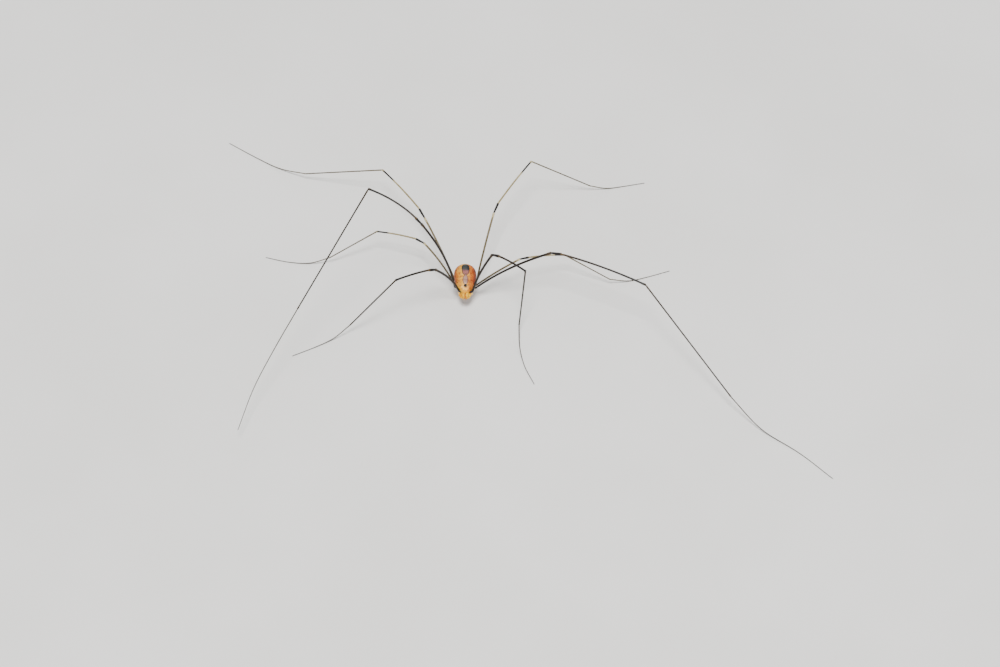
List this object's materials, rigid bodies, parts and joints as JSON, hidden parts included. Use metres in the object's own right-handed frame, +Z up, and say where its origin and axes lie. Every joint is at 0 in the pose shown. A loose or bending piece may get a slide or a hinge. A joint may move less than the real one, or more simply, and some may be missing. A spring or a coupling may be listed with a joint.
{
  "type": "harvestman",
  "caption": "Long-legged harvestman, a small orange oval body low between thread-like legs, one long leg raised, set on the floor as a still display model.",
  "frame": {"origin": "on the floor, under the middle of the whole animal's bounding box, legs included", "axes": "+Z up, -Y towards the head, +X to the animal's left"},
  "size_m": [0.0934, 0.0598, 0.0288],
  "materials": {
    "body_orange": "leathery orange skin with a grey and mauve stripe down the back",
    "mound_dark": "dark horny mound with small teeth",
    "eye_black": "glossy black",
    "face_ochre": "waxy ochre",
    "coxa_cream": "waxy cream to orange",
    "leg_dark": "dark brown horny shell",
    "leg_olive": "pale olive brown horny shell with dark bands",
    "patella_black": "black horny shell"
  },
  "bodies": {
    "root": {"carapace": "body_orange", "abdomen": "body_orange", "eye_mound": "mound_dark", "eye_right": "eye_black", "chelicera_right": "face_ochre", "pedipalp_right": "face_ochre", "leg_1_right_coxa": "coxa_cream", "leg_1_right_femur": "leg_dark", "leg_1_right_patella": "patella_black", "leg_1_right_tibia": "leg_dark", "leg_1_right_metatarsus": "leg_dark", "leg_1_right_tarsus": "leg_dark", "leg_2_right_coxa": "coxa_cream", "leg_2_right_femur": "leg_dark", "leg_2_right_patella": "patella_black", "leg_2_right_tibia": "leg_dark", "leg_2_right_metatarsus": "leg_dark", "leg_2_right_tarsus": "leg_dark", "leg_3_right_coxa": "coxa_cream", "leg_3_right_femur": "leg_olive", "leg_3_right_patella": "patella_black", "leg_3_right_tibia": "leg_olive", "leg_3_right_metatarsus": "leg_olive", "leg_3_right_tarsus": "leg_olive", "leg_4_right_coxa": "coxa_cream", "leg_4_right_femur": "leg_olive", "leg_4_right_patella": "patella_black", "leg_4_right_tibia": "leg_olive", "leg_4_right_metatarsus": "leg_olive", "leg_4_right_tarsus": "leg_olive", "eye_left": "eye_black", "chelicera_left": "face_ochre", "pedipalp_left": "face_ochre", "leg_1_left_coxa": "coxa_cream", "leg_1_left_femur": "leg_dark", "leg_1_left_patella": "patella_black", "leg_1_left_tibia": "leg_dark", "leg_1_left_metatarsus": "leg_dark", "leg_1_left_tarsus": "leg_dark", "leg_2_left_coxa": "coxa_cream", "leg_2_left_femur": "leg_dark", "leg_2_left_patella": "patella_black", "leg_2_left_tibia": "leg_dark", "leg_2_left_metatarsus": "leg_dark", "leg_2_left_tarsus": "leg_dark", "leg_3_left_coxa": "coxa_cream", "leg_3_left_femur": "leg_olive", "leg_3_left_patella": "patella_black", "leg_3_left_tibia": "leg_olive", "leg_3_left_metatarsus": "leg_olive", "leg_3_left_tarsus": "leg_olive", "leg_4_left_coxa": "coxa_cream", "leg_4_left_femur": "leg_olive", "leg_4_left_patella": "patella_black", "leg_4_left_tibia": "leg_olive", "leg_4_left_metatarsus": "leg_olive", "leg_4_left_tarsus": "leg_olive"}
  },
  "joints": []
}
